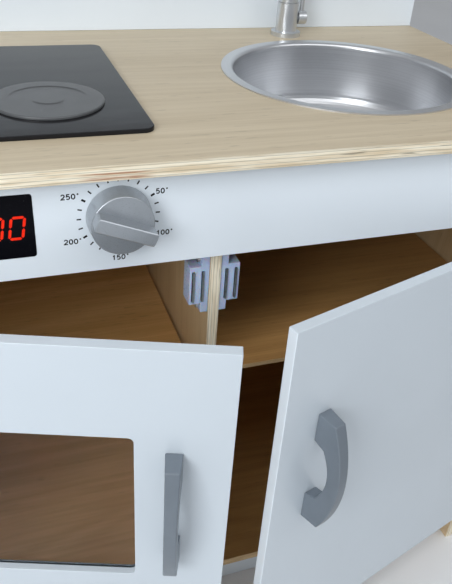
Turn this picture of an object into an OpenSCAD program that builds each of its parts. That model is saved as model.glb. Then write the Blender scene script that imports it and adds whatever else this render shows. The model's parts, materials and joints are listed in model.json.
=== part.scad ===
// Toy kitchen in birch plywood: an oven bay on the left, a sink cupboard on the right.
// Frame: origin on the floor under the middle of the divider, +X right, -Y front, +Z up.

/* [Cabinet] */
// Width over the two side panels
cabinet_w = 600; // [560:10:680]
// Depth of the side panels
cabinet_d = 284; // [270:2:320]
// Height of the worktop's upper face
worktop_h = 480; // [470:5:540]
// Thickness of the worktop
worktop_t = 9.5; // [8:0.5:12]
// Thickness of the plywood panels
panel_t = 8; // [8:1:10]
// Thickness of the shelves and of the back panel
thin_t = 4; // [3:0.5:5]
// Height of the front fascia
fascia_h = 64; // [60:0.5:75]
// Height of the plinth below the bottom panels
plinth_h = 55; // [40:1:70]
// Worktop overhang in front of the fascia
front_overhang = 10; // [6:1:14]
// Worktop overhang past each side panel
side_overhang = 6; // [0:1:12]
// Height of the splashback above the worktop
splash_h = 100; // [60:5:140]
// Drop from the fascia's lower edge to the shelves' upper face
shelf_drop = 115; // [100:1:130]
// Gap beside each shelf
shelf_gap = 3; // [1:0.5:4]
// Setback of the shelves behind the panels' front edges
shelf_setback = 12; // [6:1:20]

/* [Doors] */
// Gap between the fascia and the doors
door_gap_top = 2.4; // [1.5:0.1:4]
// Gap between the two closed doors
door_gap_mid = 2; // [1.5:0.1:4]
// How far the oven door stands open at rest, in degrees
door_angle_left = 19.1; // [0:0.1:80]
// How far the cupboard door stands open at rest, in degrees
door_angle_right = 16.9; // [0:0.1:80]
// Frame width beside the oven window
window_side = 60; // [55:1:80]
// Frame width above the oven window
window_top = 67; // [55:1:80]
// Height of the oven window
window_h = 130; // [90:5:150]
// Corner radius of the oven window
window_r = 4; // [2:1:10]
// Thickness of the window pane
pane_t = 2; // [1.5:0.5:3]

/* [Handles] */
// Length of a handle
handle_l = 100; // [90:2:120]
// Width of a handle where it meets the door
handle_w = 11.2; // [10:0.1:12]
// Width of a handle at its outermost line
handle_w_out = 7.8; // [6.8:0.1:8.4]
// Projection of a handle at its ends
handle_end = 15.4; // [14:0.1:18]
// Projection of a handle at its middle
handle_mid = 27; // [25:0.5:32]
// Distance from a handle's centre line to the door's free edge
handle_inset = 35.6; // [28:0.1:40]
// Drop from the door's top edge to the handle's top end
handle_drop = 77; // [70:0.5:90]

/* [Hinges] */
// Length of a hinge
hinge_l = 36; // [30:2:44]
// Thickness of a hinge leaf
leaf_t = 0.8; // [0.8:0.1:1]
// Distance from the pin's axis to the side panel's outer face
hinge_out = 1.6; // [1.6:0.1:2]
// Radius of the hinge pin
hinge_pin_r = 0.75; // [0.7:0.01:0.8]

/* [Controls] */
// Distance from the display's centre to each knob's centre
knob_offset = 83; // [80:0.1:90]
// Height of the knobs' axes above the fascia's lower edge
knob_z = 36.5; // [32:0.1:40]
// Radius of a knob's skirt
knob_r = 19.9; // [17:0.1:21]
// Height of a knob's skirt
knob_h = 14; // [11:0.1:15]
// Height of a knob's pointer bar above the fascia
knob_bar_h = 23; // [19:0.1:24]
// Width of a knob's pointer bar where it leaves the skirt
knob_foot_w = 9.8; // [9:0.1:11]
// Width of a knob's pointer bar at its top
knob_top_w = 8.6; // [7:0.1:8.8]
// Angle of the knobs' pointers at rest, in degrees from +X
knob_angle = -22; // [-180:1:180]
// Width of the clock display
display_w = 66.8; // [60:0.1:70]
// Height of the clock display
display_h = 40.6; // [34:0.1:42]
// Height of a clock digit
digit_h = 15.2; // [12:0.1:18]
// Distance between two digits' centres
digit_pitch = 11.85; // [11:0.05:13]

/* [Worktop fittings] */
// Width of the hob plate
hob_w = 230; // [200:5:240]
// Depth of the hob plate
hob_d = 200; // [180:5:210]
// Distance from the fascia's front to the hob plate's front edge
hob_setback = 34.6; // [28:0.1:50]
// Outer radius of the sink bowl's wall
bowl_r = 94; // [80:1:96]
// Depth of the sink bowl
bowl_d = 60; // [45:1:70]
// Wall thickness of the sink bowl
bowl_t = 1; // [0.8:0.1:1.5]

/* [Hidden] */
$fn = 64;

birch = [0.86, 0.78, 0.65];
birch_inside = [0.62, 0.47, 0.30];
white_paint = [0.90, 0.94, 0.97];
grey_plastic = [0.62, 0.64, 0.66];
slate_plastic = [0.48, 0.52, 0.57];
milky_plastic = [0.70, 0.73, 0.85];
steel = [0.72, 0.73, 0.75];
dark_glass = [0.06, 0.06, 0.07];

half_w = cabinet_w / 2;
front_y = -cabinet_d / 2;
back_y = cabinet_d / 2;
fascia_y = front_y - panel_t;
top_z = worktop_h - worktop_t;
fascia_z = top_z - fascia_h;
floor_z = plinth_h + panel_t;
shelf_z = fascia_z - shelf_drop;
half_t = panel_t / 2;
inner_x = half_w - panel_t;
bay_x = cabinet_w / 4;
fit = 0.05;
splash_y = back_y + 2;
plinth_y = front_y + 24;

// Fasteners
screw_r = 1.5;
screw_l = 30;
dowel_r = 2.5;
dowel_in = 5;
dowel_deep = 14;
fascia_dowel_z = [16, 49];
top_dowel_y = 80;
splash_dowel_x = 200;
peg_r = 2.5;
peg_in = 3.5;
peg_out = 10;
peg_y = 100;
joint_y = 90;
small_screw_r = 1.1;
small_head_r = 2.1;
door_screw_l = 6.5;
edge_screw_l = 12;
handle_screw_r = 2;
back_screw_l = 14;
back_screw_z = [90, 200, 310, 420];

// Doors, in a frame whose origin is on the hinge axis, +X towards the free edge
door_w = half_w - door_gap_mid / 2;
door_top = fascia_z - door_gap_top;
door_z = plinth_h + half_t;
door_back = -leaf_t;
door_front = door_back - panel_t;
door_end = hinge_out + door_w;
hinge_z = [door_z + 45, door_top - 45];
leaf_w = panel_t - 0.6;
knuckle_r = 1.55;
knuckles = 5;
knuckle_gap = 0.2;
leaf_screw_z = hinge_l / 2 - 7;
hinge_x = half_w + hinge_out;
hinge_y = front_y - leaf_t;
handle_x = door_end - handle_inset;
handle_top = door_top - handle_drop;
handle_leg = 24;
handle_gap = 14;
handle_screw_z = [handle_top - 12, handle_top - handle_l + 12];
window_w = door_w - 2 * window_side;
window_x = hinge_out + door_w / 2;
window_z = door_top - window_top - window_h / 2;
pane_lap = 5;
retainer_lap = 10;
retainer_t = 1;

// Magnetic catches, one on each face of the divider
catch_w = 14;
catch_d = 14;
catch_h = 30;
catch_tab_h = 7.5;
catch_tab_w = 5.5;
catch_set = 1.2;
catch_screw_y = 6;
catch_screw_l = catch_tab_w + 3.2;
catch_z = fascia_z - 28;
catch_y = front_y + catch_set;
catch_screw_z = catch_z - 1;
pole_t = 1.2;
pole_h = 24;
pole_z = catch_z - 0.9;
pole_slot = 2;
pole_in = 12;
pole_out = 1.3;
pole_x = [4.5, 11.3];
strike_w = 14;
strike_h = 36;
strike_t = 1.2;
strike_x = hinge_x - half_t - (pole_x[0] + pole_x[1]) / 2;

// Controls
shaft_r = 4;
shaft_deep = 8;
knob_gap = 0.4;
knob_bar_shift = 0.4;
knob_bar_corner = 2.8;
knob_edge = 0.5;
shaft_back = 0.4;
washer_r = 9;
washer_t = 1.5;
display_t = 1.5;
display_in = 1.2;
display_r = 1.8;
display_x = -bay_x;
display_z = fascia_z + 35.3;
digit_w = 9.1;
digit_slant = 9.5;
digit_t = 0.15;
digits_down = 0.45;
stroke = 1.6;
clock = [[-2, [0, 1, 1, 0, 0, 0, 0]], [-1, [1, 1, 0, 1, 1, 0, 1]],
         [1, [1, 1, 1, 1, 1, 1, 0]], [2, [1, 1, 1, 1, 1, 1, 0]]];

// Worktop fittings
hob_t = 3;
hob_r = 8;
ring_t = 2;
rim_r = bowl_r + 8;
bowl_bend = 14;
sink_y = -10;
tap_x = bay_x;
tap_y = 116;
tap_h = 30;
tap_r = 10;
stem_r = 5;
stem_l = 20;
spout_r = 5;
spout_bend = 24;
spout_rise = 50;
spigot_r = 4;
lever_z = worktop_h + 16;
lever_pin_r = 2.5;

module box(lo, hi) { translate(lo) cube(hi - lo); }

// Rod along an axis: it starts at p and runs l along +X, +Y or +Z
module rod_x(p, l, r) { translate(p) rotate([0, 90, 0]) cylinder(h = l, r = r); }
module rod_y(p, l, r) { translate(p) rotate([-90, 0, 0]) cylinder(h = l, r = r); }
module rod_z(p, l, r) { translate(p) cylinder(h = l, r = r); }

module rounded(w, h, r) {
  square([w - 2 * r, h], center = true);
  square([w, h - 2 * r], center = true);
  for (x = [-1, 1], y = [-1, 1])
    translate([x * (w / 2 - r), y * (h / 2 - r)]) circle(r);
}

// Plate with rounded corners in the XZ plane, from y0 to y0 + t
module plate_xz(c, w, h, r, y0, t) {
  translate([c[0], y0 + t, c[1]]) rotate([90, 0, 0]) linear_extrude(t) rounded(w, h, r);
}

function arc(c, r, a0, a1, n) =
  [for (i = [0 : n]) c + r * [cos(a0 + (a1 - a0) * i / n), sin(a0 + (a1 - a0) * i / n)]];

// ---- Fasteners and the holes that take them --------------------------------

module dowels(grow) {
  r = dowel_r + grow;
  both = dowel_in + dowel_deep + 2 * grow;
  for (x = [-inner_x - half_t, 0, inner_x + half_t]) {
    for (z = fascia_dowel_z)
      rod_y([x, front_y - dowel_in - grow, fascia_z + z], both, r);
    for (y = [-top_dowel_y, top_dowel_y])
      rod_z([x, y, top_z - dowel_deep - grow], both, r);
  }
  for (y = [-joint_y, joint_y])
    rod_x([-half_t - dowel_deep - grow, y, floor_z - half_t],
          panel_t + 2 * (dowel_deep + grow), r);
  for (x = [-splash_dowel_x, 0, splash_dowel_x])
    rod_z([x, splash_y + half_t, worktop_h - dowel_in - grow], both, r);
}

// Countersunk screw along +Z with its head's face at the origin
module countersunk(l, r, head_r, grow) {
  translate([0, 0, -l]) cylinder(h = l, r = r + grow);
  translate([0, 0, r - head_r]) cylinder(h = head_r - r, r1 = r + grow, r2 = head_r + grow);
}

// Pan-head screw along +Z with the underside of its head at the origin
module panhead(l, r, head_r, head_t) {
  translate([0, 0, -l]) cylinder(h = l, r = r);
  difference() {
    cylinder(h = head_t, r1 = head_r, r2 = head_r * 0.8);
    for (a = [0, 90])
      rotate(a) translate([-head_r * 0.5, -0.3, head_t - 0.6]) cube([head_r, 0.6, 1]);
  }
}

module carcass_screw_set(grow) {
  for (s = [-1, 1], y = [-joint_y, joint_y])
    translate([s * half_w, y, floor_z - half_t]) rotate([0, s * 90, 0])
      countersunk(screw_l + grow, screw_r, 3.2, grow);
}

module back_screw_places() {
  for (x = [-inner_x - half_t, 0, inner_x + half_t], z = back_screw_z)
    translate([x, back_y + thin_t, z]) rotate([-90, 0, 0]) children();
}

module back_screw_holes() {
  back_screw_places() translate([0, 0, -back_screw_l - fit])
    cylinder(h = back_screw_l + 2 * fit, r = screw_r + fit);
}

module pegs(grow) {
  for (x = [-inner_x, -half_t, half_t, inner_x], y = [-peg_y, peg_y]) {
    into = x == -inner_x || x == half_t ? -1 : 1;
    l = peg_in + peg_out + 2 * grow;
    start = into < 0 ? x - peg_in - grow : x - peg_out - grow;
    rod_x([start, y, shelf_z - thin_t - peg_r], l, peg_r + grow);
  }
}

// ---- Carcass -----------------------------------------------------------------

module side_blank(s) {
  difference() {
    if (s < 0) box([-half_w, front_y, 0], [-inner_x, back_y, top_z]);
    else box([inner_x, front_y, 0], [half_w, back_y, top_z]);
    dowels(fit);
    carcass_screw_set(fit);
    back_screw_holes();
    pegs(fit);
    hinge_side_screw_places() countersunk(edge_screw_l + leaf_t, small_screw_r, small_head_r, fit);
  }
}

module side_panel_left() { color(birch) side_blank(-1); }
module side_panel_right() { color(birch) side_blank(1); }

module divider_panel() {
  color(birch) difference() {
    box([-half_t, front_y, 0], [half_t, back_y, top_z]);
    dowels(fit);
    back_screw_holes();
    pegs(fit);
    catch_screw_places() translate([0, 0, -catch_screw_l - fit])
      cylinder(h = catch_screw_l + fit, r = small_screw_r + fit);
  }
}

module bottom_blank(s) {
  lo = s < 0 ? -inner_x : half_t;
  difference() {
    box([lo, front_y, plinth_h], [lo + inner_x - half_t, back_y, floor_z]);
    dowels(fit);
    carcass_screw_set(fit);
  }
}

module bottom_panel_left() { color(birch_inside) bottom_blank(-1); }
module bottom_panel_right() { color(birch_inside) bottom_blank(1); }

module plinth_blank(s) {
  lo = s < 0 ? -inner_x : half_t;
  box([lo, plinth_y, 0], [lo + inner_x - half_t, plinth_y + panel_t, plinth_h]);
}

module plinth_left() { color(white_paint) plinth_blank(-1); }
module plinth_right() { color(white_paint) plinth_blank(1); }

module back_panel() {
  color(birch_inside) difference() {
    box([-half_w, back_y, plinth_h], [half_w, back_y + thin_t, top_z]);
    back_screw_holes();
  }
}

module worktop() {
  color(birch) difference() {
    box([-half_w - side_overhang, fascia_y - front_overhang, top_z],
        [half_w + side_overhang, splash_y + panel_t, worktop_h]);
    dowels(fit);
    rod_z([bay_x, sink_y, top_z - 1], worktop_t + 2, bowl_r + 2);
    rod_z([tap_x, tap_y, top_z - 1], worktop_t + 2, stem_r + fit);
  }
}

module splashback() {
  color(white_paint) difference() {
    box([-half_w - side_overhang, splash_y, worktop_h],
        [half_w + side_overhang, splash_y + panel_t, worktop_h + splash_h]);
    dowels(fit);
  }
}

module fascia_panel() {
  color(white_paint) difference() {
    box([-half_w, fascia_y, fascia_z], [half_w, front_y, top_z]);
    dowels(fit);
    for (s = [-1, 1])
      rod_y([display_x + s * knob_offset, fascia_y - 1, fascia_z + knob_z],
            panel_t + 2, shaft_r + fit);
    plate_xz([display_x, display_z], display_w + 0.2, display_h + 0.2, display_r,
             fascia_y - 1, display_in + 1);
  }
}

module shelf_blank(s) {
  lo = s < 0 ? -inner_x + shelf_gap : half_t + shelf_gap;
  box([lo, front_y + shelf_setback, shelf_z - thin_t],
      [lo + inner_x - half_t - 2 * shelf_gap, back_y - 1, shelf_z]);
}

module shelf_left() { color(birch_inside) shelf_blank(-1); }
module shelf_right() { color(birch_inside) shelf_blank(1); }
module shelf_pegs() { color(steel) pegs(0); }
module carcass_dowels() { color(birch) dowels(0); }
module carcass_screws() {
  color(steel) difference() {
    carcass_screw_set(0);
    for (s = [-1, 1], y = [-joint_y, joint_y])
      translate([s * half_w, y, floor_z - half_t]) rotate([0, s * 90, 0])
        translate([0, 0, -1.2]) cylinder(h = 2, r = 1.4, $fn = 6);
  }
}
module back_screws() {
  color(steel) back_screw_places() panhead(back_screw_l, screw_r, 2.8, 1.8);
}

// ---- Controls ------------------------------------------------------------------

module display_panel() {
  color(dark_glass)
    plate_xz([display_x, display_z], display_w, display_h, display_r,
             fascia_y - display_t + display_in, display_t);
}

function slanted(p) = [p[0] + p[1] * tan(digit_slant), p[1]];

// One segment: a bar with pointed ends, on the line from a to b
module segment(a, b) {
  along = (b - a) / norm(b - a);
  across = [-along[1], along[0]] * stroke / 2;
  tip = along * stroke / 2;
  p = a + tip * 1.45;
  q = b - tip * 1.45;
  polygon([for (v = [p - tip, p + across, q + across, q + tip, q - across, p - across])
           slanted(v)]);
}

module digit(on) {
  w = (digit_w - stroke) / 2;
  h = (digit_h - stroke) / 2;
  ends = [[[-w, h], [w, h]], [[w, h], [w, 0]], [[w, 0], [w, -h]], [[-w, -h], [w, -h]],
          [[-w, 0], [-w, -h]], [[-w, h], [-w, 0]], [[-w, 0], [w, 0]]];
  for (i = [0 : 6])
    if (on[i] > 0) segment(ends[i][0], ends[i][1]);
}

module clock_digits() {
  face = fascia_y - display_t + display_in;
  color("red") translate([display_x, face, display_z - digits_down])
    rotate([90, 0, 0])
    linear_extrude(digit_t) {
      for (c = clock)
        translate([c[0] * digit_pitch, 0]) digit(c[1]);
      for (y = [-3.5, 3.5])
        translate(slanted([0, y])) circle(0.95);
    }
}

// Knob frame: origin on the fascia's face, +Z out of the fascia
module at_knob(s) {
  translate([display_x + s * knob_offset, fascia_y, fascia_z + knob_z])
    rotate([90, 0, 0]) rotate(knob_angle) children();
}

// Pointer bar: drafted sides, chamfered top, ends round with the skirt, a little nearer the tip
module knob_bar() {
  foot = knob_h - 2;
  half_foot = knob_foot_w / 2;
  half_top = knob_top_w / 2;
  edge_z = knob_bar_h - knob_edge;
  end_r = knob_r - 0.7;
  reach = knob_r + 1;
  intersection() {
    rotate([90, 0, 90]) translate([0, 0, -reach]) linear_extrude(2 * reach)
      polygon([[-half_foot, foot], [half_foot, foot], [half_foot, knob_h],
               [half_top, edge_z], [half_top - knob_edge, knob_bar_h],
               [knob_edge - half_top, knob_bar_h], [-half_top, edge_z], [-half_foot, knob_h]]);
    translate([knob_bar_shift, 0, 0]) rotate_extrude()
      polygon([[0, 0], [end_r + 0.3, 0], [end_r, edge_z], [end_r - knob_edge, knob_bar_h],
               [0, knob_bar_h]]);
    linear_extrude(knob_bar_h) translate([knob_bar_shift, 0])
      rounded(2 * (end_r - 0.2), knob_foot_w, knob_bar_corner);
  }
}

module knob_body() {
  rim = 1;
  top_r = knob_r - 0.9;
  difference() {
    union() {
      rotate_extrude() polygon(concat(
        [[0, knob_gap], [knob_r, knob_gap]],
        arc([top_r - rim, knob_h - rim], rim, 0, 90, 6),
        [[0, knob_h]]));
      knob_bar();
    }
    translate([0, 0, -1]) cylinder(h = shaft_deep + 1 + fit, r = shaft_r + 0.02);
  }
}

module knob_shaft() {
  l = panel_t + shaft_back;
  difference() {
    translate([0, 0, -l]) cylinder(h = l + shaft_deep, r = shaft_r);
    translate([0, 0, -l - 1]) cylinder(h = 11, r = screw_r);
  }
}

module knob_washer() {
  difference() {
    translate([0, 0, -panel_t - shaft_back - washer_t]) cylinder(h = washer_t, r = washer_r);
    translate([0, 0, -panel_t - shaft_back - washer_t - 1]) cylinder(h = 4, r = screw_r + fit);
  }
}

module knob_screw() {
  translate([0, 0, -panel_t - shaft_back - washer_t]) mirror([0, 0, 1])
    panhead(9, screw_r - 0.02, 2.8, 1.8);
}

module knob_left() { color(grey_plastic) at_knob(-1) knob_body(); }
module knob_right() { color(grey_plastic) at_knob(1) knob_body(); }
module knob_shaft_left() { color(birch) at_knob(-1) knob_shaft(); }
module knob_shaft_right() { color(birch) at_knob(1) knob_shaft(); }
module knob_washer_left() { color(steel) at_knob(-1) knob_washer(); }
module knob_washer_right() { color(steel) at_knob(1) knob_washer(); }
module knob_screw_left() { color(steel) at_knob(-1) knob_screw(); }
module knob_screw_right() { color(steel) at_knob(1) knob_screw(); }

// ---- Hob, sink and tap ----------------------------------------------------------

module hob_plate() {
  color(dark_glass) translate([-bay_x, fascia_y + hob_setback + hob_d / 2, worktop_h])
    linear_extrude(hob_t) rounded(hob_w, hob_d, hob_r);
}

module hob_ring(x, y, r) {
  translate([-bay_x + x, fascia_y + hob_setback + hob_d / 2 + y, worktop_h + hob_t])
    rotate_extrude() polygon([[0, 0], [r, 0], [r, ring_t - 0.6], [r - 0.6, ring_t],
      [r * 0.72, ring_t], [r * 0.7, ring_t - 0.5], [r * 0.3, ring_t - 0.5],
      [r * 0.28, ring_t], [0, ring_t]]);
}

module hob_ring_large() { color(grey_plastic) hob_ring(-48, 34, 45); }
module hob_ring_small() { color(grey_plastic) hob_ring(56, -40, 37); }

module sink_bowl() {
  low = -bowl_d + bowl_bend;
  color(steel) translate([bay_x, sink_y, worktop_h]) rotate_extrude() polygon(concat(
    [[0, -bowl_d]],
    arc([bowl_r - bowl_bend, low], bowl_bend, -90, 0, 8),
    [[bowl_r, 0], [rim_r, 0], [rim_r, bowl_t]],
    arc([bowl_r + 1, -2], 3, 90, 180, 5),
    arc([bowl_r - bowl_bend, low], bowl_bend - bowl_t, 0, -90, 8),
    [[0, -bowl_d + bowl_t]]));
}

module tap_base() {
  color(steel) difference() {
    translate([tap_x, tap_y, worktop_h]) union() {
      cylinder(h = 4, r = tap_r + 4);
      cylinder(h = tap_h, r = tap_r);
      cylinder(h = tap_h + 10, r = spigot_r);
      translate([0, 0, -stem_l]) cylinder(h = stem_l + 1, r = stem_r);
    }
    rod_x([tap_x + 1, tap_y, lever_z], tap_r + 1, lever_pin_r + fit);
  }
}

module tap_nut() {
  color(steel) translate([tap_x, tap_y, top_z - 6]) difference() {
    cylinder(h = 6, r = 10, $fn = 6);
    translate([0, 0, -1]) cylinder(h = 8, r = stem_r + fit);
  }
}

module tap_spout() {
  low = worktop_h + tap_h + 0.2;
  bend_z = low + spout_rise;
  color(steel) translate([tap_x, tap_y, 0]) difference() {
    union() {
      rod_z([0, 0, low], 12.5, tap_r - 1);
      rod_z([0, 0, low + 10], bend_z - low - 10, spout_r);
      translate([0, -spout_bend, bend_z]) rotate([90, 0, 90])
        rotate_extrude(angle = 180) translate([spout_bend, 0]) circle(spout_r);
      rod_z([0, -2 * spout_bend, bend_z - 12], 12, spout_r);
      rod_z([0, -2 * spout_bend, bend_z - 13], 5, spout_r + 1);
    }
    rod_z([0, 0, low - 1], 11.5, spigot_r + fit);
    rod_z([0, -2 * spout_bend, bend_z - 14], 8, spout_r - 1.2);
  }
}

module tap_lever() {
  color(steel) translate([tap_x, tap_y, lever_z]) union() {
    rod_x([2, 0, 0], tap_r, lever_pin_r);
    rod_x([tap_r + 0.4, 0, 0], 8, 6);
    rod_z([tap_r + 4.4, 0, 3], 30, 2.2);
    translate([tap_r + 4.4, 0, 34]) sphere(3.6);
  }
}

// ---- Magnetic catches -------------------------------------------------------------

module catch_screw_places() {
  for (s = [-1, 1], z = [-1, 1])
    translate([s * (half_t + catch_tab_w), catch_y + catch_screw_y,
               catch_screw_z + z * (catch_h / 2 + catch_tab_h / 2)])
      rotate([0, s * 90, 0]) children();
}

module catch_housing_blank() {
  difference() {
    union() {
      box([half_t, catch_y, catch_z - catch_h / 2],
          [half_t + catch_w, catch_y + catch_d, catch_z + catch_h / 2]);
      box([half_t, catch_y, catch_z - catch_h / 2 - catch_tab_h],
          [half_t + catch_tab_w, catch_y + catch_d, catch_z + catch_h / 2 + catch_tab_h]);
    }
    for (x = pole_x)
      box([half_t + x - pole_slot / 2, catch_y - 1, pole_z - pole_h / 2 - 0.3],
          [half_t + x + pole_slot / 2, catch_y + pole_in, pole_z + pole_h / 2 + 0.3]);
    box([half_t + pole_x[0], catch_y + 3, pole_z - pole_h / 2 + 1],
        [half_t + pole_x[1], catch_y + pole_in, pole_z + pole_h / 2 - 1]);
    catch_screw_places() translate([0, 0, -catch_screw_l])
      cylinder(h = catch_screw_l + 1, r = small_screw_r + fit);
  }
}

module catch_housing_right() { color(milky_plastic) catch_housing_blank(); }
module catch_housing_left() { color(milky_plastic) mirror([1, 0, 0]) catch_housing_blank(); }

module catch_pole_plates() {
  color(steel) for (s = [-1, 1], x = pole_x)
    translate([s * (half_t + x) - pole_t / 2, catch_y - pole_out, pole_z - pole_h / 2])
      cube([pole_t, pole_in + pole_out - 0.5, pole_h]);
}

module catch_magnets() {
  w = pole_x[1] - pole_x[0] - pole_t;
  color([0.2, 0.2, 0.2]) for (s = [-1, 1])
    translate([s * (half_t + (pole_x[0] + pole_x[1]) / 2) - w / 2, catch_y + 3.2,
               pole_z - pole_h / 2 + 1.2])
      cube([w, pole_in - 3.7, pole_h - 2.4]);
}

module catch_screws() {
  color(steel) catch_screw_places() panhead(catch_screw_l - 0.2, small_screw_r, 2.2, 1.8);
}

// ---- Doors ----------------------------------------------------------------------------

module place_door(s) {
  angle = s < 0 ? door_angle_left : door_angle_right;
  mirror([s < 0 ? 0 : 1, 0, 0]) translate([-hinge_x, hinge_y, 0]) rotate(-angle) children();
}

// Countersunk screws of a door: two in each hinge leaf, one in the strike plate
module door_screw_places() {
  for (z = hinge_z, d = [-leaf_screw_z, leaf_screw_z])
    translate([hinge_out + half_t, 0, z + d]) rotate([-90, 0, 0]) children();
  translate([strike_x, door_back + strike_t, catch_z]) rotate([-90, 0, 0]) children();
}

module retainer_screw_places() {
  for (x = [-1, 1], z = [-1, 1])
    translate([window_x + x * (window_w / 2 - 12), door_back,
               window_z + z * (window_h / 2 + retainer_lap - 2.5)])
      rotate([-90, 0, 0]) children();
}

module door_blank() {
  difference() {
    box([hinge_out, door_front, door_z], [door_end, door_back, door_top]);
    door_screw_places() countersunk(door_screw_l, small_screw_r, small_head_r, fit);
    for (z = handle_screw_z)
      rod_y([handle_x, door_front - 1, z], panel_t + 2, handle_screw_r + fit);
  }
}

module door_panel_left() {
  color(white_paint) place_door(-1) difference() {
    door_blank();
    plate_xz([window_x, window_z], window_w, window_h, window_r, door_front - 1, panel_t + 2);
    plate_xz([window_x, window_z], window_w + 2 * pane_lap, window_h + 2 * pane_lap,
             window_r + 2, door_back - retainer_t - pane_t, panel_t);
    plate_xz([window_x, window_z], window_w + 2 * retainer_lap, window_h + 2 * retainer_lap,
             window_r + 4, door_back - retainer_t, panel_t);
    retainer_screw_places() translate([0, 0, -5]) cylinder(h = 6, r = small_screw_r + fit);
  }
}

module door_panel_right() { color(white_paint) place_door(1) door_blank(); }

module oven_window() {
  color([0.5, 0.45, 0.4, 0.5]) place_door(-1)
    plate_xz([window_x, window_z], window_w + 2 * pane_lap - 0.4,
             window_h + 2 * pane_lap - 0.4, window_r + 2, door_back - retainer_t - pane_t, pane_t);
}

module window_retainer() {
  color(slate_plastic) place_door(-1) difference() {
    plate_xz([window_x, window_z], window_w + 2 * retainer_lap - 0.4,
             window_h + 2 * retainer_lap - 0.4, window_r + 4, door_back - retainer_t, retainer_t);
    plate_xz([window_x, window_z], window_w, window_h, window_r, door_back - 3, 5);
    retainer_screw_places() translate([0, 0, -5]) cylinder(h = 6, r = small_screw_r + fit);
  }
}

// Side outline of a handle: distance from the door, then height below its top end
function bow(depth, half, rise, n) =
  [for (i = [0 : n]) let (u = 2 * i / n - 1)
    [depth + rise * (1 - u * u), -handle_l / 2 - u * half]];

module handle_blank() {
  outer = bow(handle_end, handle_l / 2 - 1.2, handle_mid - handle_end, 16);
  inner = bow(handle_gap - 5, handle_l / 2 - handle_leg - 3, 7, 12);
  outline = concat(
    [[0, 0]], outer, [[0, -handle_l], [0, -handle_l + handle_leg]],
    [for (i = [len(inner) - 1 : -1 : 0]) inner[i]], [[0, -handle_leg]]);
  difference() {
    translate([handle_x, door_front, handle_top]) intersection() {
      translate([-handle_w / 2, 0, 0]) rotate([90, 0, 90])
        linear_extrude(handle_w) polygon([for (p = outline) [-p[0], p[1]]]);
      translate([0, 0, -handle_l]) linear_extrude(handle_l)
        polygon([[-handle_w / 2, 0], [handle_w / 2, 0],
                 [handle_w_out / 2, -handle_mid], [-handle_w_out / 2, -handle_mid]]);
    }
    for (z = handle_screw_z)
      rod_y([handle_x, door_front - 10, z], 11, handle_screw_r + fit);
  }
}

module handle_left() { color(slate_plastic) place_door(-1) handle_blank(); }
module handle_right() { color(slate_plastic) place_door(1) handle_blank(); }

module handle_screw_set() {
  for (z = handle_screw_z)
    translate([handle_x, door_back, z]) rotate([-90, 0, 0])
      panhead(panel_t + 9.5, handle_screw_r, 3.5, 2);
}

module handle_screws_left() { color(steel) place_door(-1) handle_screw_set(); }
module handle_screws_right() { color(steel) place_door(1) handle_screw_set(); }

module strike_blank() {
  difference() {
    box([strike_x - strike_w / 2, door_back, catch_z - strike_h / 2],
        [strike_x + strike_w / 2, door_back + strike_t, catch_z + strike_h / 2]);
    door_screw_places() countersunk(door_screw_l, small_screw_r, small_head_r, fit);
  }
}

module strike_plate_left() { color(steel) place_door(-1) strike_blank(); }
module strike_plate_right() { color(steel) place_door(1) strike_blank(); }

module door_screws_left() {
  color(steel) place_door(-1) {
    door_screw_places() countersunk(door_screw_l - 0.2, small_screw_r, small_head_r, 0);
    retainer_screw_places() translate([0, 0, -4.5]) cylinder(h = 4.5, r = small_screw_r);
  }
}

module door_screws_right() {
  color(steel) place_door(1)
    door_screw_places() countersunk(door_screw_l - 0.2, small_screw_r, small_head_r, 0);
}

// ---- Hinges -----------------------------------------------------------------------------

// Knuckles of one hinge around the pin's axis: first is 0 for the side leaf, 1 for the door's
module knuckle_set(first) {
  pitch = hinge_l / knuckles;
  for (i = [first : 2 : knuckles - 1])
    translate([0, 0, -hinge_l / 2 + i * pitch + knuckle_gap / 2])
      cylinder(h = pitch - knuckle_gap, r = knuckle_r);
}

// A leaf lies on the side of y that s gives, and is cut away beside the other leaf's knuckles
module leaf(first, s) {
  pitch = hinge_l / knuckles;
  difference() {
    union() {
      knuckle_set(first);
      for (i = [first : 2 : knuckles - 1])
        translate([0, s > 0 ? 0 : -leaf_t, -hinge_l / 2 + i * pitch + knuckle_gap / 2])
          cube([hinge_out + 1.4, leaf_t, pitch - knuckle_gap]);
      translate([hinge_out + 0.3, s > 0 ? 0 : -leaf_t, -hinge_l / 2])
        cube([leaf_w, leaf_t, hinge_l]);
    }
    translate([0, 0, -hinge_l]) cylinder(h = 2 * hinge_l, r = hinge_pin_r + fit);
  }
}

module hinge_leaves_door(s) {
  color(steel) place_door(s) difference() {
    for (z = hinge_z) translate([0, 0, z]) leaf(1, -1);
    door_screw_places() countersunk(door_screw_l, small_screw_r, small_head_r, fit);
  }
}

module hinge_leaves_door_left() { hinge_leaves_door(-1); }
module hinge_leaves_door_right() { hinge_leaves_door(1); }

// The four fixed hinge halves sit on the side panels' front edges
module hinge_places() {
  for (s = [0, 1], z = hinge_z)
    mirror([s, 0, 0]) translate([-hinge_x, hinge_y, z]) children();
}

module hinge_side_screw_places() {
  hinge_places() for (d = [-leaf_screw_z, leaf_screw_z])
    translate([hinge_out + half_t, 0, d]) rotate([90, 0, 0]) children();
}

module hinge_leaves_side() {
  color(steel) difference() {
    hinge_places() leaf(0, 1);
    hinge_side_screw_places() countersunk(edge_screw_l, small_screw_r, small_head_r, fit);
  }
}

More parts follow.
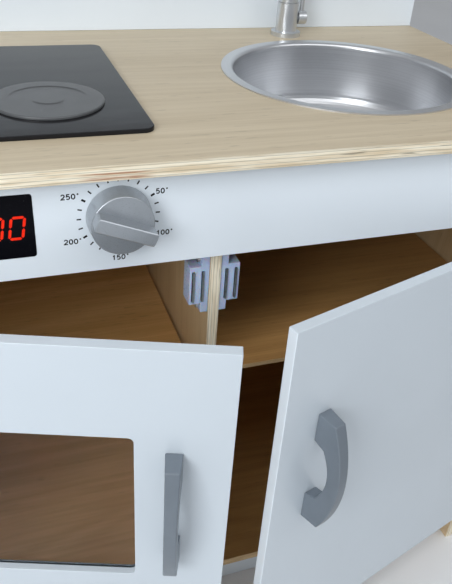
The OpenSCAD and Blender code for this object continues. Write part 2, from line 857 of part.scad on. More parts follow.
module hinge_pins() {
  color(steel) hinge_places() translate([0, 0, -hinge_l / 2 - 0.5]) union() {
    cylinder(h = hinge_l + 1, r = hinge_pin_r);
    translate([0, 0, -0.3]) cylinder(h = 0.6, r = 1.2);
    translate([0, 0, hinge_l + 0.7]) cylinder(h = 0.6, r = 1.2);
  }
}

module hinge_screws_side() {
  color(steel) hinge_side_screw_places()
    countersunk(edge_screw_l - 0.2, small_screw_r, small_head_r, 0);
}

side_panel_left();
side_panel_right();
divider_panel();
bottom_panel_left();
bottom_panel_right();
plinth_left();
plinth_right();
back_panel();
worktop();
splashback();
fascia_panel();
shelf_left();
shelf_right();
shelf_pegs();
display_panel();
clock_digits();
hob_plate();
hob_ring_large();
hob_ring_small();
sink_bowl();
tap_base();
tap_nut();
tap_spout();
tap_lever();
knob_left();
knob_shaft_left();
knob_washer_left();
knob_screw_left();
knob_right();
knob_shaft_right();
knob_washer_right();
knob_screw_right();
catch_housing_left();
catch_housing_right();
catch_magnets();
catch_pole_plates();
catch_screws();
door_panel_left();
oven_window();
window_retainer();
handle_left();
handle_screws_left();
strike_plate_left();
hinge_leaves_door_left();
door_screws_left();
door_panel_right();
handle_right();
handle_screws_right();
strike_plate_right();
hinge_leaves_door_right();
door_screws_right();
hinge_leaves_side();
hinge_pins();
hinge_screws_side();
carcass_screws();
carcass_dowels();
back_screws();
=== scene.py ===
"""Looks of a toy kitchen: birch plywood, white lacquer, plastic knobs, clock, hob, sink and tap."""

import json
import math

import bmesh
import bpy
from mathutils import Matrix, Vector


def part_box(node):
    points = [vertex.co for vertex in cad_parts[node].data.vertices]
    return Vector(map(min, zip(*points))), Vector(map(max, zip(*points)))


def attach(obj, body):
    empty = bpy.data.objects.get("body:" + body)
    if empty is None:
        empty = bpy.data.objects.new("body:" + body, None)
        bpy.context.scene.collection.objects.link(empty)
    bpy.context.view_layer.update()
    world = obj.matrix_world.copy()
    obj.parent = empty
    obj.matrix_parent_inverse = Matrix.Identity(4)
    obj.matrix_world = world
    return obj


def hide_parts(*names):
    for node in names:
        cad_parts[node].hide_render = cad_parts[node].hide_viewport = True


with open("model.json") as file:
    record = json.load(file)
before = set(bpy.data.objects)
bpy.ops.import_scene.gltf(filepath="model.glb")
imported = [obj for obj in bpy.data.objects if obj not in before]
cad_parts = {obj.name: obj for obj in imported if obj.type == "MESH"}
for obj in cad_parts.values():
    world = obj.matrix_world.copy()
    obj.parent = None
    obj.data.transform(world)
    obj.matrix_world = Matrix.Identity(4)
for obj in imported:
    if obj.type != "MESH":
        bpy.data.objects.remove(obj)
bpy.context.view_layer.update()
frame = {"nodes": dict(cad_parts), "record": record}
NODES = frame["nodes"]
BODIES = frame["record"]["behaviour"]["bodies"]
BODY_OF = {node: body for body, nodes in BODIES.items() for node in nodes}
SLOT_OF = {part["node"]: part["material_slot"] for part in frame["record"]["subparts"]}
MM = 0.001
AXES = "XYZ"


# ---- Camera: the photograph's viewing angle ------------------------------------------------------

CAMERA_PLACE = Vector((-139.4, -521.3, 638.8)) * MM
CAMERA_TURN = math.radians(21.31)
CAMERA_DIP = math.radians(33.31)
CAMERA_ROLL = math.radians(-4.33)
CAMERA_LENS = 43.0


def add_camera():
    """Looks to the right of +Y by the turn and below the horizon by the dip, then rolls."""
    sin_t, cos_t = math.sin(CAMERA_TURN), math.cos(CAMERA_TURN)
    ahead = Vector((sin_t * math.cos(CAMERA_DIP), cos_t * math.cos(CAMERA_DIP), -math.sin(CAMERA_DIP)))
    level_right = Vector((cos_t, -sin_t, 0))
    level_down = ahead.cross(level_right)
    right = level_right * math.cos(CAMERA_ROLL) + level_down * math.sin(CAMERA_ROLL)
    down = level_down * math.cos(CAMERA_ROLL) - level_right * math.sin(CAMERA_ROLL)
    camera = bpy.data.objects.new("camera", bpy.data.cameras.new("camera"))
    bpy.context.scene.collection.objects.link(camera)
    camera.data.lens = CAMERA_LENS
    camera.data.clip_start = 0.01
    camera.data.clip_end = 50
    turn = Matrix((right, -down, -ahead)).transposed().to_4x4()
    camera.matrix_world = Matrix.Translation(CAMERA_PLACE) @ turn
    bpy.context.scene.camera = camera


# ---- Studio --------------------------------------------------------------------------------------

# Name, place and target, size, all in metres, then power in watts and colour
LIGHTS = (
    ("key", (-0.78, -0.9, 0.87), (-0.07, -0.1, 0.4), (0.5, 0.55), 7.4, (0.95, 0.98, 1.0)),
    ("fill", (1.3, -1.9, 1.0), (0, -0.1, 0.35), (0.7, 0.9), 0.5, (1.0, 0.99, 0.97)),
    ("top", (-0.3, -0.1, 2.2), (0, 0, 0.4), (1.6, 1.2), 1.5, (0.98, 0.99, 1.0)),
    ("strip", (0.15, -0.59, 1.15), (0.15, -0.15, 0.44), (1.9, 0.3), 4.0, (0.98, 0.99, 1.0)),
)
SKY_COLOUR = (0.93, 0.96, 1.0)
SKY_STRENGTH = 0.38
FLOOR_HALF = 6.0


def soft_light(name, place, target, size, power, colour):
    lamp = bpy.data.lights.new(name, "AREA")
    lamp.shape = "RECTANGLE"
    lamp.size, lamp.size_y = size
    lamp.energy = power
    lamp.color = colour
    light = bpy.data.objects.new(name, lamp)
    light.location = place
    light.rotation_euler = (Vector(target) - Vector(place)).to_track_quat("-Z", "Y").to_euler()
    bpy.context.scene.collection.objects.link(light)


def add_studio():
    for light in LIGHTS:
        soft_light(*light)
    world = bpy.data.worlds.new("studio")
    world.use_nodes = True
    background = world.node_tree.nodes["Background"].inputs
    background["Color"].default_value = (*SKY_COLOUR, 1)
    background["Strength"].default_value = SKY_STRENGTH
    bpy.context.scene.world = world
    bpy.context.scene.view_settings.view_transform = "Standard"


def add_floor(material):
    corners = [(x * FLOOR_HALF, y * FLOOR_HALF, 0) for x, y in ((-1, -1), (1, -1), (1, 1), (-1, 1))]
    mesh = bpy.data.meshes.new("floor")
    mesh.from_pydata(corners, [], [(0, 1, 2, 3)])
    mesh.materials.append(material)
    floor = bpy.data.objects.new("floor", mesh)
    bpy.context.scene.collection.objects.link(floor)


# ---- Material kit --------------------------------------------------------------------------------

def scaled(colour, share):
    return tuple(channel * share for channel in colour)


class Paint:
    """A node material: its Principled shader, with short ways to add nodes."""

    def __init__(self, name, **uniform):
        self.material = bpy.data.materials.new(name)
        self.material.use_nodes = True
        self.tree = self.material.node_tree
        self.shader = self.tree.nodes["Principled BSDF"]
        for socket, value in uniform.items():
            self.shader.inputs[socket.replace("_", " ").title().replace("Ior", "IOR")].default_value = value

    def add(self, kind, inputs=(), **settings):
        node = self.tree.nodes.new("ShaderNode" + kind)
        for key, value in settings.items():
            setattr(node, key, value)
        for key, value in dict(inputs).items():
            self.feed(node.inputs[key], value)
        return node

    def feed(self, socket, value):
        if isinstance(value, bpy.types.NodeSocket):
            self.tree.links.new(value, socket)
        else:
            socket.default_value = value

    def place(self, scale=(1, 1, 1), offset=(0, 0, 0)):
        """The object's own coordinates in metres, moved by offset and then scaled."""
        here = self.add("TexCoord").outputs["Object"]
        moved = self.add("VectorMath", {0: here, 1: offset}, operation="ADD").outputs[0]
        return self.add("VectorMath", {0: moved, 1: scale}, operation="MULTIPLY").outputs[0]

    def noise(self, place, scale=1.0, detail=2.0, roughness=0.5, distortion=0.0):
        inputs = {"Vector": place, "Scale": scale, "Detail": detail, "Roughness": roughness,
                  "Distortion": distortion}
        return self.add("TexNoise", inputs).outputs["Fac"]

    def math(self, operation, a, b=0.0):
        return self.add("Math", {0: a, 1: b}, operation=operation).outputs[0]

    def span(self, value, low, high, to_low=0.0, to_high=1.0):
        """Maps low..high to to_low..to_high with soft ends."""
        inputs = {"Value": value, "From Min": low, "From Max": high, "To Min": to_low, "To Max": to_high}
        return self.add("MapRange", inputs, interpolation_type="SMOOTHSTEP").outputs["Result"]

    def ramp(self, value, stops):
        node = self.add("ValToRGB", {"Fac": value})
        elements = node.color_ramp.elements
        while len(elements) < len(stops):
            elements.new(0.5)
        for element, (position, colour) in zip(elements, stops):
            element.position = position
            element.color = (*colour, 1)
        return node.outputs["Color"]

    def mix(self, share, a, b, blend="MIX"):
        def colour(value):
            return (*value, 1) if isinstance(value, tuple) and len(value) == 3 else value
        node = self.add("Mix", data_type="RGBA", blend_type=blend, clamp_factor=True)
        self.feed(node.inputs["Factor"], share)
        self.feed(node.inputs[6], colour(a))
        self.feed(node.inputs[7], colour(b))
        return node.outputs[2]

    def shade(self, noise, dark, light, low=0.3, high=0.7):
        """Drifts from dark to light as the noise goes from low to high."""
        return self.mix(self.span(noise, low, high), dark, light)

    def bump(self, height, strength, distance):
        inputs = {"Height": height, "Strength": strength, "Distance": distance}
        self.tree.links.new(self.add("Bump", inputs).outputs["Normal"], self.shader.inputs["Normal"])

    def colour(self, value):
        self.feed(self.shader.inputs["Base Color"], value)

    def rough(self, value):
        self.feed(self.shader.inputs["Roughness"], value)


def along(axis, axis_scale, cross_scale):
    """Scale of a pattern that is stretched or squeezed along one axis."""
    return tuple(axis_scale if name == axis else cross_scale for name in AXES)


# ---- Wood ----------------------------------------------------------------------------------------

def birch_face(name, grain, light, dark):
    """Rotary-cut birch veneer: drifting tone, faint contour figure, fine fibres and short dark flecks."""
    paint = Paint(name)
    drift = paint.noise(paint.place(along(grain, 2.5, 9)), detail=3)
    waves = paint.noise(paint.place(along(grain, 1.6, 13)), detail=1, distortion=0.3)
    contour = paint.math("SINE", paint.math("MULTIPLY", waves, 70))
    fibres = paint.noise(paint.place(along(grain, 14, 900)), detail=4, roughness=0.7)
    streaks = paint.noise(paint.place(along(grain, 4, 160)), detail=3, roughness=0.6)
    flecks = paint.span(paint.noise(paint.place(along(grain, 60, 520)), detail=1), 0.66, 0.78)
    tone = paint.math("ADD", paint.math("MULTIPLY", drift, 0.55), paint.math("MULTIPLY", streaks, 0.45))
    tone = paint.math("ADD", tone, paint.math("MULTIPLY", contour, 0.05))
    tone = paint.math("ADD", tone, paint.math("MULTIPLY", paint.math("SUBTRACT", fibres, 0.5), 0.45))
    wood = paint.shade(tone, dark, light, 0.25, 0.75)
    paint.colour(paint.mix(paint.math("MULTIPLY", flecks, 0.45), wood, scaled(dark, 0.62)))
    paint.rough(paint.span(fibres, 0.2, 0.8, 0.55, 0.45))
    paint.bump(fibres, 0.12, 0.0004)
    return paint.material


# Brightness of the plies and glue lines, by depth from a board's lower face to its upper one
PLY_LINES = ((0.0, 0.74), (0.085, 0.92), (0.13, 0.46), (0.165, 1.0), (0.31, 0.96), (0.35, 0.5),
             (0.39, 0.97), (0.60, 1.0), (0.635, 0.5), (0.675, 0.97), (0.84, 1.0), (0.87, 0.46),
             (0.91, 0.90), (1.0, 0.72))
# How much a knot colours the plies, by the same depth
KNOT_PLIES = ((0.0, 0.0), (0.07, 0.2), (0.12, 0.95), (0.25, 0.95), (0.31, 0.1), (0.40, 0.1),
              (0.44, 0.9), (0.51, 0.9), (0.56, 0.0), (1.0, 0.0))
KNOT_BROWN = (0.40, 0.19, 0.095)


def birch_edge(name, axis, low, high, light, dark, knot=None):
    """Cut edge of a plywood board: thin dark glue lines between light plies, with fissures and
    brown streaks. low and high are the board's two faces on the axis of its thickness. A knot is
    a brown patch in the lower plies, given by its middle and its half length along X."""
    paint = Paint(name)

    def grain(through_scale, lengthwise_scale, **noise):
        return paint.noise(paint.place(along(axis, through_scale, lengthwise_scale)), **noise)

    position = paint.add("SeparateXYZ", {0: paint.place()}).outputs[AXES.index(axis)]
    wander = grain(40, 11, detail=2)
    shift = paint.math("MULTIPLY", paint.math("SUBTRACT", wander, 0.5), (high - low) * 0.16)
    inputs = {"Value": paint.math("ADD", position, shift), "From Min": low, "From Max": high}
    depth = paint.add("MapRange", inputs).outputs["Result"]

    def by_depth(stops):
        return paint.ramp(depth, [(stop, (level,) * 3) for stop, level in stops])

    fibres = grain(1500, 60, detail=3, roughness=0.7)
    patches = grain(420, 22, detail=3, roughness=0.6)
    fissures = paint.span(grain(700, 30, detail=2), 0.64, 0.74)
    wood = paint.shade(patches, dark, light, 0.32, 0.62)
    wood = paint.mix(1.0, wood, by_depth(PLY_LINES), "MULTIPLY")
    wood = paint.mix(paint.span(fibres, 0.3, 0.7, 0.22, 0.0), wood, dark)
    if knot:
        middle, half_length = knot
        ahead = paint.add("SeparateXYZ", {0: paint.place((1, 1, 1), (-middle, 0, 0))}).outputs[0]
        near = paint.span(paint.math("ABSOLUTE", ahead), half_length * 0.4, half_length, 1.0, 0.0)
        streak = paint.span(grain(1300, 34, detail=2), 0.36, 0.52, 0.35, 1.0)
        patch = paint.math("MULTIPLY", near, by_depth(KNOT_PLIES))
        wood = paint.mix(paint.math("MULTIPLY", patch, streak), wood, KNOT_BROWN)
    paint.colour(paint.mix(paint.math("MULTIPLY", fissures, 0.8), wood, scaled(dark, 0.33)))
    paint.rough(0.62)
    paint.bump(paint.math("SUBTRACT", fibres, fissures), 0.25, 0.0004)
    return paint.material


# ---- Lacquer, plastics and metals ----------------------------------------------------------------

def lacquer(name, colour):
    """Sprayed satin lacquer on smooth board, with a trace of orange peel."""
    paint = Paint(name, coat_weight=0.25, coat_roughness=0.22)
    peel = paint.noise(paint.place(), scale=330, detail=2)
    cloud = paint.noise(paint.place(), scale=7, detail=3)
    paint.colour(paint.shade(cloud, scaled(colour, 0.965), colour))
    sheen = paint.noise(paint.place(), scale=900, detail=1)
    paint.rough(paint.span(sheen, 0.3, 0.7, 0.28, 0.4))
    paint.bump(peel, 0.05, 0.0006)
    return paint.material


def moulded(name, colour, roughness, sparkle=0.0, metallic=0.0):
    """Moulded plastic with a fine eroded texture; sparkle adds light flakes, as in silver-grey plastic."""
    paint = Paint(name, metallic=metallic)
    texture = paint.noise(paint.place(), scale=2600, detail=2, roughness=0.6)
    cloud = paint.noise(paint.place(), scale=45, detail=3)
    body = paint.shade(cloud, scaled(colour, 0.9), colour)
    if sparkle:
        flakes = paint.span(paint.noise(paint.place(), scale=4200, detail=1), 0.56, 0.72)
        bright = tuple(min(1.0, channel) for channel in scaled(colour, 1.5))
        body = paint.mix(paint.math("MULTIPLY", flakes, sparkle), body, bright)
    paint.colour(body)
    paint.rough(paint.span(texture, 0.25, 0.75, roughness - 0.03, roughness + 0.04))
    paint.bump(texture, 0.05, 0.0001)
    return paint.material


def milky_plastic(name, colour):
    """Milky injection-moulded nylon: light spreads inside it, and its tone drifts faintly with the flow."""
    paint = Paint(name, subsurface_weight=0.6, subsurface_scale=0.005)
    flow = paint.noise(paint.place((60, 60, 20)), detail=2, distortion=0.4)
    paint.colour(paint.shade(flow, scaled(colour, 0.9), colour, 0.25, 0.75))
    sheen = paint.noise(paint.place(), scale=500, detail=2)
    paint.rough(paint.span(sheen, 0.3, 0.7, 0.26, 0.36))
    return paint.material


def zinc(name, colour, roughness=0.34):
    """Bright zinc plating: cloudy crystals and fine scratches."""
    paint = Paint(name, metallic=1.0)
    cloud = paint.noise(paint.place(), scale=260, detail=4, roughness=0.65)
    scratch = paint.noise(paint.place((300, 300, 2600)), detail=2)
    paint.colour(paint.shade(cloud, scaled(colour, 0.72), colour))
    paint.rough(paint.span(scratch, 0.3, 0.7, roughness - 0.08, roughness + 0.12))
    paint.bump(scratch, 0.06, 0.0001)
    return paint.material


def brushed(name, colour, centre):
    """Spun stainless steel: fine rings round a vertical axis through centre."""
    paint = Paint(name, metallic=1.0)
    spun = paint.place((1, 1, 1), (-centre[0], -centre[1], 0))
    parts = paint.add("SeparateXYZ", {0: spun}).outputs
    flat = paint.add("CombineXYZ", {0: parts[0], 1: parts[1]}).outputs[0]
    radius = paint.add("VectorMath", {0: flat}, operation="LENGTH").outputs["Value"]
    height = paint.math("MULTIPLY", parts[2], 900)
    rings = paint.add("CombineXYZ", {0: paint.math("MULTIPLY", radius, 2200), 1: height}).outputs[0]
    lines = paint.noise(rings, detail=3, roughness=0.7)
    cloud = paint.noise(paint.place(), scale=18, detail=2)
    paint.colour(paint.shade(lines, scaled(colour, 0.86), colour, 0.25, 0.75))
    sheen = paint.span(lines, 0.2, 0.8, 0.24, 0.36)
    paint.rough(paint.math("ADD", sheen, paint.math("MULTIPLY", cloud, 0.06)))
    paint.bump(lines, 0.07, 0.0001)
    return paint.material


def satin_silver(name, colour):
    """Silver paint on a turned tap: fine metallic grain under a thin clear coat."""
    paint = Paint(name, metallic=0.85, coat_weight=0.2, coat_roughness=0.15)
    grain = paint.noise(paint.place(), scale=3000, detail=2)
    cloud = paint.noise(paint.place(), scale=30, detail=2)
    paint.colour(paint.shade(cloud, scaled(colour, 0.85), colour))
    paint.rough(paint.span(grain, 0.25, 0.75, 0.27, 0.4))
    paint.bump(grain, 0.05, 0.0001)
    return paint.material


def gloss_black(name, colour, roughness, shine=0.2):
    """Polished black sheet with faint dust and wipe marks."""
    paint = Paint(name, specular_ior_level=shine)
    wipe = paint.noise(paint.place((18, 60, 60)), detail=3, distortion=0.5)
    dust = paint.span(paint.noise(paint.place(), scale=1400, detail=1), 0.72, 0.8)
    paint.colour(paint.mix(paint.math("MULTIPLY", dust, 0.15), colour, (0.2, 0.2, 0.21)))
    paint.rough(paint.span(wipe, 0.3, 0.7, roughness, roughness + 0.07))
    return paint.material


def painted_glow_red(name):
    """Red segments printed behind acrylic, a little uneven, with a painted glow: they emit light though no
    lamp is in them.
    """
    paint = Paint(name, specular_ior_level=0.1, emission_strength=0.85)
    cloud = paint.noise(paint.place(), scale=380, detail=2)
    painted_glow = paint.shade(cloud, (0.82, 0.02, 0.006), (1.0, 0.035, 0.01))
    paint.colour(paint.mix(0.8, painted_glow, (0.02, 0.001, 0.001)))
    paint.rough(paint.span(cloud, 0.3, 0.7, 0.35, 0.5))
    paint.feed(paint.shader.inputs["Emission Color"], painted_glow)
    return paint.material


def clear_acrylic(name):
    """Clear window sheet with faint smears."""
    paint = Paint(name, ior=1.2, transmission_weight=1.0)
    smear = paint.noise(paint.place((14, 14, 30)), detail=3, distortion=0.4)
    paint.colour(paint.shade(smear, (0.90, 0.93, 0.93), (0.96, 0.98, 0.98)))
    paint.rough(paint.span(smear, 0.35, 0.75, 0.02, 0.07))
    return paint.material


def ferrite(name):
    """Gritty dark grey magnet ceramic."""
    paint = Paint(name)
    grit = paint.noise(paint.place(), scale=1800, detail=3)
    paint.colour(paint.shade(grit, (0.035, 0.035, 0.04), (0.075, 0.075, 0.08)))
    paint.rough(paint.span(grit, 0.3, 0.7, 0.6, 0.8))
    paint.bump(grit, 0.2, 0.0002)
    return paint.material


def ink(name):
    """Screen-printed black: matt, with slightly uneven cover."""
    paint = Paint(name, specular_ior_level=0.15)
    cover = paint.noise(paint.place(), scale=1500, detail=2)
    paint.colour(paint.shade(cover, (0.004, 0.004, 0.005), (0.012, 0.012, 0.014)))
    paint.rough(paint.span(cover, 0.3, 0.7, 0.42, 0.55))
    return paint.material


def studio_floor(name):
    """Plain pale floor, very faintly uneven."""
    paint = Paint(name)
    cloud = paint.noise(paint.place(), scale=3, detail=3)
    paint.colour(paint.shade(cloud, (0.88, 0.89, 0.90), (0.92, 0.93, 0.94)))
    paint.rough(0.6)
    return paint.material


# ---- Pieces made from CAD nodes ------------------------------------------------------------------

def hang(piece, body, slot, *nodes):
    """The piece rides on a body and stands for the nodes. The slot is not used."""
    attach(piece, body)
    if nodes:
        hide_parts(*nodes)
    return piece


def new_piece(name, mesh):
    piece = bpy.data.objects.new(name, mesh)
    bpy.context.scene.collection.objects.link(piece)
    return piece


def edge_groups(edges):
    """Connected runs among the edges."""
    left, groups = set(edges), []
    while left:
        group, front = [], [left.pop()]
        while front:
            edge = front.pop()
            group.append(edge)
            near = {other for vert in edge.verts for other in vert.link_edges} & left
            left -= near
            front.extend(near)
        groups.append(group)
    return groups


def reach(edges):
    """Diagonal of the box round the edges."""
    points = [vert.co for edge in edges for vert in edge.verts]
    size = [max(p[i] for p in points) - min(p[i] for p in points) for i in range(3)]
    return Vector(size).length


# Runs of sharp edges up to this size, such as the rims of screw holes, aren't rounded
SMALL_RUN = 12 * MM
SHARP_EDGE = math.radians(35)
NEARLY_FLAT = math.radians(0.6)
SAME_POINT = 1e-6


def crisp_edges(bm):
    """Edges between faces that meet at a sharp angle, without the small runs."""
    crisp = [edge for edge in bm.edges
             if len(edge.link_faces) == 2 and edge.calc_face_angle(0) > SHARP_EDGE]
    return [edge for group in edge_groups(crisp) if reach(group) > SMALL_RUN for edge in group]


def soften(node, width, material, segments=2, crease=50):
    """A copy of a CAD node whose outer edges are rounded by width. Edges stay as they are when
    width is 0. Faces that meet at more than the crease, in degrees, don't share their shading."""
    mesh = NODES[node].data.copy()
    mesh.materials.clear()
    mesh.materials.append(material)
    if "custom_normal" in mesh.attributes:
        mesh.attributes.remove(mesh.attributes["custom_normal"])
    bm = bmesh.new()
    bm.from_mesh(mesh)
    bmesh.ops.remove_doubles(bm, verts=bm.verts, dist=SAME_POINT)
    bmesh.ops.dissolve_limit(bm, angle_limit=NEARLY_FLAT, verts=bm.verts, edges=bm.edges)
    if width:
        bmesh.ops.bevel(bm, geom=crisp_edges(bm), offset=width, offset_type="OFFSET", segments=segments,
                        profile=0.5, affect="EDGES", clamp_overlap=True, material=-1)
    for face in bm.faces:
        face.smooth = True
        face.material_index = 0
    bm.to_mesh(mesh)
    bm.free()
    mesh.set_sharp_from_angle(angle=math.radians(crease))
    piece = new_piece(node + "_piece", mesh)
    normals = piece.modifiers.new("normals", "WEIGHTED_NORMAL")
    normals.keep_sharp = True
    return hang(piece, BODY_OF[node], SLOT_OF[node], node)


def door(node, face_material, end_material):
    """A door panel with its own tone on its two upright ends."""
    piece = soften(node, 0.7 * MM, face_material, segments=3)
    piece.data.materials.append(end_material)
    front = max(piece.data.polygons, key=lambda polygon: polygon.area).normal.copy()
    for polygon in piece.data.polygons:
        at_end = abs(polygon.normal.dot(front)) < 0.9 and abs(polygon.normal.z) < 0.5
        polygon.material_index = 1 if at_end else 0


def board(node, axis, face_material, width=0.4 * MM, **tones):
    """A plywood board: veneer on the two faces across its thickness, plies on the edges."""
    low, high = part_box(node)
    place = AXES.index(axis)
    piece = soften(node, width, face_material)
    piece.data.materials.append(birch_edge(node + "_edge", axis, low[place], high[place], **tones))
    for polygon in piece.data.polygons:
        polygon.material_index = 0 if abs(polygon.normal[place]) > 0.9 else 1


def keep(node, material):
    """A CAD node that stays as it is, with a finished material."""
    NODES[node].data.materials.clear()
    NODES[node].data.materials.append(material)


# ---- Dial print ----------------------------------------------------------------------------------

# Ticks and the dial's radii
TICK_INNER = 22.6 * MM
TICK_OUTER = 25.25 * MM
TICK_MINOR = 0.9 * MM
TICK_MAJOR = 1.35 * MM
TICK_STEP = 15
MAJOR_TICKS = (30, -30, -90, -150, 150)
# How far the print stands off the fascia
PRINT_PROUD = 0.02 * MM
# Width of the strokes, size and pitch of the numerals
PEN = 0.72 * MM
DIGIT_WIDE = 2.65 * MM
DIGIT_HIGH = 3.75 * MM
DIGIT_STEP = 2.98 * MM
# Text, then its lower left corner from the dial's centre in millimetres
NUMERALS = (("50", 22.5, 12.2), ("100", 22.9, -16.2), ("150", -5.1, -30.6),
            ("200", -33.6, -16.3), ("250", -33.7, 13.3))
# The round degree mark: its middle's distance from the last numeral, and its radius
DEGREE_GAP = 1.3 * MM
DEGREE_DOT = 0.55 * MM
DOT_SIDES = 16


def bow(centre, wide, high, start, end, steps=12):
    """Points on an ellipse from one angle to another, in degrees."""
    turns = [math.radians(start + (end - start) * i / steps) for i in range(steps + 1)]
    return [(centre[0] + wide * math.cos(a), centre[1] + high * math.sin(a)) for a in turns]


# Middle lines of the numerals' strokes in a box one unit wide and one unit high
STROKES = {
    "0": [bow((0.5, 0.5), 0.5, 0.5, 90, 450, 24)],
    "1": [[(0.2, 0.74), (0.4, 0.78), (0.56, 0.9), (0.6, 1.08)], [(0.6, 1.08), (0.6, -0.08)]],
    "2": [bow((0.5, 0.7), 0.46, 0.3, 170, -20) + [(0.78, 0.42), (0.2, 0.17), (0.02, 0.0), (1.08, 0.0)]],
    "5": [[(0.96, 1.0), (0.2, 1.0), (0.1, 0.55)] + bow((0.48, 0.31), 0.5, 0.31, 125, -148, 18)],
}


def pen_line(points, width):
    """Corners of the quads of a line of constant width with mitred bends."""
    points = [Vector(p) for p in points]
    closed = (points[0] - points[-1]).length < 1e-7
    rims = []
    for i, point in enumerate(points):
        before = points[i - 1] if i else (points[-2] if closed else None)
        after = points[i + 1] if i + 1 < len(points) else (points[1] if closed else None)
        ways = [(b - a).normalized() for a, b in ((before, point), (point, after)) if a and b]
        normals = [Vector((-way.y, way.x)) for way in ways]
        side = sum(normals, Vector((0, 0))).normalized()
        side *= width / 2 / max(side.dot(normals[0]), 0.5)
        rims.append((point + side, point - side))
    return [(a[0], b[0], b[1], a[1]) for a, b in zip(rims, rims[1:])]


def dial_outline(centre):
    """Ticks all round a dial, the numerals and their degree dots, as flat faces on the fascia."""
    bm = bmesh.new()

    def face(points):
        corners = [(centre[0] + x, centre[1] - PRINT_PROUD, centre[2] + z) for x, z in points]
        bm.faces.new([bm.verts.new(corner) for corner in corners])

    for degrees in range(-180, 180, TICK_STEP):
        angle = math.radians(degrees)
        out = Vector((math.cos(angle), math.sin(angle)))
        side = Vector((-out.y, out.x)) * (TICK_MAJOR if degrees in MAJOR_TICKS else TICK_MINOR) / 2
        near, far = out * TICK_INNER, out * TICK_OUTER
        face([near - side, far - side, far + side, near + side])
    for text, left, base in NUMERALS:
        x = left * MM
        z = base * MM
        for digit in text:
            for stroke in STROKES[digit]:
                line = [(x + PEN / 2 + u * (DIGIT_WIDE - PEN), z + PEN / 2 + v * (DIGIT_HIGH - PEN))
                        for u, v in stroke]
                for quad in pen_line(line, PEN):
                    face(quad)
            x += DIGIT_STEP
        middle = Vector((x - DIGIT_STEP + DIGIT_WIDE + DEGREE_GAP, z + DIGIT_HIGH - DEGREE_DOT))
        turns = [2 * math.pi * i / DOT_SIDES for i in range(DOT_SIDES)]
        face([middle + DEGREE_DOT * Vector((math.cos(a), math.sin(a))) for a in turns])
    return bm


def dial_print(side, material):
    """The scale round one knob, printed on the fascia. Its centre is the knob shaft's middle."""
    low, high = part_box("knob_shaft_" + side)
    fascia_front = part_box("fascia_panel")[0].y
    bm = dial_outline(Vector(((low.x + high.x) / 2, fascia_front, (low.z + high.z) / 2)))
    bmesh.ops.recalc_face_normals(bm, faces=bm.faces)
    mesh = bpy.data.meshes.new("dial_print_" + side)
    bm.to_mesh(mesh)
    bm.free()
    mesh.materials.append(material)
    return hang(new_piece("dial_print_" + side, mesh), "cabinet", "display_black")


# ---- Build ---------------------------------------------------------------------------------------

add_camera()
add_studio()
add_floor(studio_floor("floor_paint"))

EDGE_TONES = {"light": (0.98, 0.91, 0.74), "dark": (0.74, 0.61, 0.42)}
INNER_TONES = {"light": (0.74, 0.52, 0.28), "dark": (0.54, 0.35, 0.16)}
DOWEL_TONES = ((0.72, 0.60, 0.44), (0.60, 0.48, 0.32))

worktop_face = birch_face("worktop_face", "X", (0.67, 0.575, 0.42), (0.55, 0.455, 0.315))
upright_face = birch_face("upright_face", "Z", (0.74, 0.56, 0.34), (0.60, 0.42, 0.22))
inside_face = birch_face("inside_face", "X", (0.86, 0.54, 0.24), (0.64, 0.36, 0.13))
# A darker copy of the inside birch for the right bay's boards: painted shade.
inside_painted_shade = birch_face("inside_painted_shade", "X", (0.62, 0.35, 0.13), (0.45, 0.24, 0.08))
white = lacquer("white_lacquer", (0.83, 0.90, 0.965))
# The doors' lacquer is a darker copy of the white lacquer: painted shade on the door faces.
door_painted_shade_lacquer = lacquer("door_lacquer_painted_shade", (0.63, 0.695, 0.755))
steel = zinc("zinc_steel", (0.66, 0.67, 0.69))

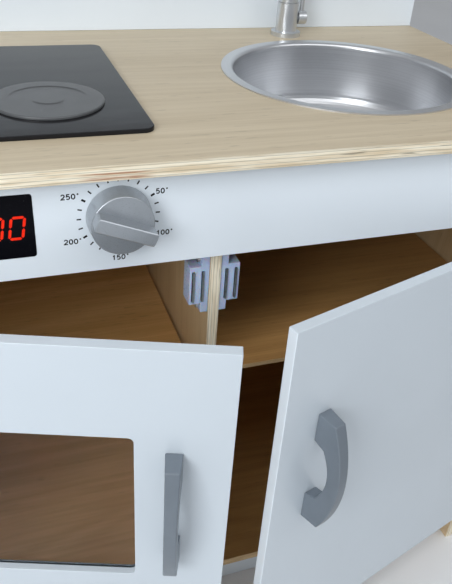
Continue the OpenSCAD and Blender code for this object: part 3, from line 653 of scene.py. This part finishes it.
# The worktop's front and back edges have a knot left of the middle
board("worktop", "Z", worktop_face, 0.2 * MM, knot=(-70 * MM, 26 * MM), **EDGE_TONES)
for node in ("side_panel_left", "side_panel_right", "divider_panel"):
    board(node, "X", upright_face, **EDGE_TONES)
for node in ("bottom_panel_left", "shelf_left"):
    board(node, "Z", inside_face, **INNER_TONES)
# The right bay's bottom and shelf take the darker copy of the birch, painted shade
for node in ("bottom_panel_right", "shelf_right"):
    board(node, "Z", inside_painted_shade, **INNER_TONES)
board("back_panel", "Y", inside_face, **INNER_TONES)

for node in ("fascia_panel", "splashback", "plinth_left", "plinth_right"):
    soften(node, 0.7 * MM, white, segments=3)
# Door faces in the darker lacquer, painted shade; their upright ends in the full white
for node in ("door_panel_left", "door_panel_right"):
    door(node, door_painted_shade_lacquer, white)

knob_plastic = moulded("knob_plastic", (0.425, 0.456, 0.492), 0.3, sparkle=0.06, metallic=0.6)
slate_plastic = moulded("slate_plastic", (0.17, 0.2, 0.235), 0.34)
milky = milky_plastic("catch_plastic", (0.52, 0.61, 0.82))
for side in ("left", "right"):
    soften("knob_" + side, 0, knob_plastic, crease=30)
    soften("handle_" + side, 0.9 * MM, slate_plastic, segments=3)
    soften("catch_housing_" + side, 0.35 * MM, milky)
    keep("knob_shaft_" + side, birch_face("shaft_wood_" + side, "Y", *DOWEL_TONES))
soften("window_retainer", 0.3 * MM, slate_plastic)

soften("display_panel", 0.2 * MM, gloss_black("display_black", (0.004, 0.004, 0.006), 0.1, 0.05))
# The printed digits emit light from their material: a painted glow.
keep("clock_digits", painted_glow_red("digit_red"))
hob_black = gloss_black("hob_black", (0.012, 0.012, 0.014), 0.12)
soften("hob_plate", 0.6 * MM, hob_black, segments=3)
hob_grey = moulded("hob_grey", (0.11, 0.115, 0.12), 0.36)
for node in ("hob_ring_large", "hob_ring_small"):
    soften(node, 0.25 * MM, hob_grey)
keep("oven_window", clear_acrylic("clear_pane"))
keep("catch_magnets", ferrite("ferrite"))

sink_low, sink_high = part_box("sink_bowl")
keep("sink_bowl", brushed("sink_steel", (0.72, 0.73, 0.75), (sink_low + sink_high) / 2))
silver = satin_silver("tap_silver", (0.68, 0.70, 0.72))
for node in ("tap_base", "tap_nut", "tap_spout", "tap_lever"):
    keep(node, silver)
keep("carcass_dowels", birch_face("dowel_wood", "Y", *DOWEL_TONES))
for node, slot in SLOT_OF.items():
    if slot == "steel":
        keep(node, steel)
# The catches' pole plates are steel too, but darker than the screws and hinges
keep("catch_pole_plates", zinc("pole_steel", (0.42, 0.47, 0.46), 0.4))

print_ink = ink("print_ink")
for side in ("left", "right"):
    dial_print(side, print_ink)
